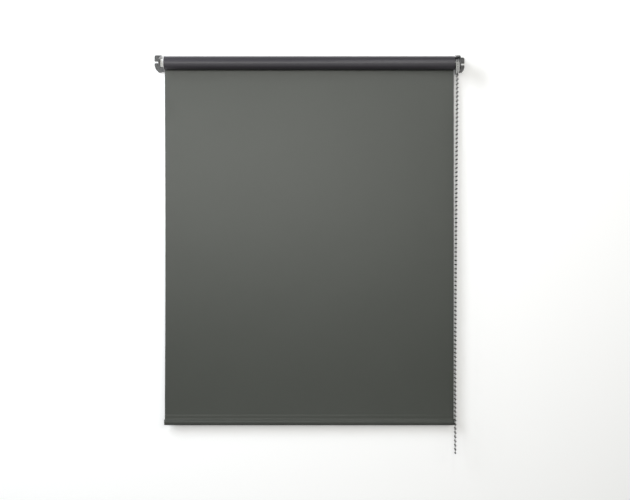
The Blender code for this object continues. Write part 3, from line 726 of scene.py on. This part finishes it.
class BLIND_OT_cloth(bpy.types.Operator):
    """Makes the hanging cloth with its outermost turn on the roll, and the cloth wound beneath it"""
    bl_idname = "blind.cloth"
    bl_label = "Cloth"

    def execute(self, context):
        size = sizes()
        back = CLOTH_Y - AXIS_Y
        foot = POCKET_HIGH.z
        half = (STRAIGHT_FROM + foot) / 2
        heights = (foot, half, STRAIGHT_FROM, STRAIGHT_FROM * 0.7, STRAIGHT_FROM * 0.35)
        points = [(CLOTH_Y, z) for z in heights] + wound(back, size.pitch, OUTER_TURN, TURN_STEP)

        def waist(bm):
            centre = (CLOTH_LEFT + CLOTH_RIGHT) / 2
            for vert in bm.verts:
                share = (vert.co.x - centre) / (CLOTH_WIDTH / 2)
                if share < 0 and abs(vert.co.z - half) < 1e-5 and abs(vert.co.y - CLOTH_Y) < 1e-5:
                    vert.co.x -= size.waist * share ** 3

        bm = strip(points, 8, waist)
        hanging = STRAIGHT_FROM * 2
        facing(bm, lambda f: f.normal.y > 0 if f.calc_center_median().z < hanging else None)
        cloth_piece("hanging_cloth", bm, None, "fabric_drop",
                    blend=((0, CLOTH_Y, STRAIGHT_FROM), (0, CLOTH_Y, foot)))

        inner = back - size.pitch * INNER_START
        depth = inner - (TUBE_TOP + size.cloth / 2 + CORE_PLAY)
        points = wound(inner, size.pitch, 360 * depth / size.pitch, INNER_STEP)

        # On the roll the cloth's reverse looks outwards
        def outward(face):
            middle = face.calc_center_median()
            return face.normal.y * (middle.y - AXIS_Y) + face.normal.z * middle.z > 0

        bm = strip(points, 2)
        facing(bm, outward)
        cloth_piece("wound_cloth", bm, "roller", "fabric_roll",
                    rounded=False)
        return {"FINISHED"}


class BLIND_OT_hem(bpy.types.Operator):
    """Makes the hem pocket round its bar, and the end caps"""
    bl_idname = "blind.hem"
    bl_label = "Hem"

    def execute(self, context):
        size = sizes()
        top, bottom = POCKET_HIGH.z, POCKET_LOW.z
        layer = size.cloth / 2 + WELD_PLAY
        middle = (BAR_LOW.z + BAR_HIGH.z) / 2
        deep = (POCKET_HIGH.y - POCKET_LOW.y) / 2 - size.cloth / 2
        tall = middle - bottom - size.cloth / 2
        around = [(deep * depth, middle + tall * up) for depth, up in BAR_WRAP]
        # The welded lip stands a little proud above the neck, which opens into the pocket
        face = [(CLOTH_Y - depth, top - down) for depth, down in WELD_AND_NECK]
        face += [(CLOTH_Y - depth, z) for depth, z in around]
        rear = [(2 * CLOTH_Y - y, z) for y, z in reversed(face[len(WELD_AND_NECK):])]
        rear += [(CLOTH_Y + 2 * layer, top - down) for depth, down in reversed(WELD_AND_NECK[:-1])]
        points = [*face, (CLOTH_Y, bottom + size.cloth / 2), *rear]
        bm = strip(points, 2)
        front = CLOTH_Y - deep * 0.9
        facing(bm, lambda f: f.normal.y > 0 if f.calc_center_median().y < front else None)
        cloth_piece("hem", bm, "hem", "hem_pocket")
        for node in ("hem_cap_idle", "hem_cap_drive"):
            rounded_copy(node + "_rounded", node, size.round_edge, finish("trim_matt"), "hem")
        cad_finish("hem_bar", finish("drawn_aluminium"))
        return {"FINISHED"}


class BLIND_OT_brackets(bpy.types.Operator):
    """Makes the two wall brackets"""
    bl_idname = "blind.brackets"
    bl_label = "Wall brackets"

    def execute(self, context):
        for node in ("idle_bracket", "drive_bracket"):
            rounded_copy(node + "_pressed", node, sizes().round_edge, finish("satin_paint"), "root")
        return {"FINISHED"}


class BLIND_OT_idle_end(bpy.types.Operator):
    """Makes the idle plug, its pin and its spring"""
    bl_idname = "blind.idle_end"
    bl_label = "Idle end"

    def execute(self, context):
        nylon, steel = finish("white_nylon"), finish("plated_steel")
        rounded_copy("idle_plug_moulded", "idle_plug", 0.0003, nylon, "roller")
        rounded_copy("idle_pin_turned", "idle_pin", 0.0002, steel, "idle_pin")
        cad_finish("idle_spring_cap", nylon)
        middle = (SPRING_LOW + SPRING_HIGH) / 2
        reach = (SPRING_HIGH.z - SPRING_LOW.z) / 2 - SPRING_WIRE
        first, last = SPRING_LOW.x + SPRING_WIRE, SPRING_HIGH.x - SPRING_WIRE
        path = []
        for i in range(SPRING_TURNS * SPRING_STEPS + 1):
            turn = 2 * math.pi * i / SPRING_STEPS
            path.append(Vector((first + (last - first) * i / (SPRING_TURNS * SPRING_STEPS),
                                middle.y + reach * math.cos(turn), middle.z + reach * math.sin(turn))))
        bm = bmesh.new()
        tube_along(bm, path, SPRING_WIRE, 8, False)
        bmesh.ops.holes_fill(bm, edges=[e for e in bm.edges if e.is_boundary], sides=0)
        piece = add_piece("idle_spring_wound", bm, [steel], "roller", ["idle_spring"], 60)
        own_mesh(piece)
        return {"FINISHED"}


class BLIND_OT_drive(bpy.types.Operator):
    """Makes the chain drive's housing, cover, wheel and inner parts"""
    bl_idname = "blind.drive"
    bl_label = "Chain drive"

    def execute(self, context):
        glossy, matt, steel = finish("gloss_black"), finish("matt_black"), finish("plated_steel")
        rounded_copy("drive_housing_moulded", "drive_housing", 0.0004, glossy, "root")
        rounded_copy("drive_cover_moulded", "drive_cover", 0.0003, glossy, "root")
        rounded_copy("chain_wheel_moulded", "chain_wheel", 0.00015, matt, "chain_wheel",
                     segments=2)
        rounded_copy("tube_adapter_moulded", "tube_adapter", 0.00025, glossy, "roller",
                     segments=2)
        for node in ("clutch_spring_up", "clutch_spring_down", "core_washer", "core_screw"):
            cad_finish(node, steel)
        return {"FINISHED"}


class BLIND_OT_tube(bpy.types.Operator):
    """Finishes the tube and the strip that holds the cloth in its channel"""
    bl_idname = "blind.tube"
    bl_label = "Tube"

    def execute(self, context):
        cad_finish("roller_tube", finish("drawn_aluminium"))
        cad_finish("fabric_strip", finish("trim_matt"))
        return {"FINISHED"}


class BLIND_PT_panel(bpy.types.Panel):
    """Lists the pieces and their settings"""
    bl_idname = "BLIND_PT_panel"
    bl_label = "Roller blind"
    bl_space_type = "VIEW_3D"
    bl_region_type = "UI"
    bl_category = "Blind"

    def draw(self, context):
        for step in STEPS:
            self.layout.operator(step.bl_idname)
        for settings in (context.scene.blind_sizes, context.scene.blind_colours):
            column = self.layout.column(align=True)
            for name in settings.__annotations__:
                column.prop(settings, name)


STEPS = (BLIND_OT_materials, BLIND_OT_stage, BLIND_OT_chain, BLIND_OT_cloth, BLIND_OT_hem, BLIND_OT_brackets,
         BLIND_OT_idle_end, BLIND_OT_drive, BLIND_OT_tube)
CLASSES = (BlindSizes, BlindColours, *STEPS, BLIND_PT_panel)


def register():
    for cls in CLASSES:
        bpy.utils.register_class(cls)
    bpy.types.Scene.blind_sizes = bpy.props.PointerProperty(type=BlindSizes)
    bpy.types.Scene.blind_colours = bpy.props.PointerProperty(type=BlindColours)


def unregister():
    del bpy.types.Scene.blind_colours
    del bpy.types.Scene.blind_sizes
    for cls in reversed(CLASSES):
        bpy.utils.unregister_class(cls)


def main():
    register()
    for step in STEPS:
        area, call = step.bl_idname.split(".")
        getattr(getattr(bpy.ops, area), call)()


if __name__ == "__main__":
    main()
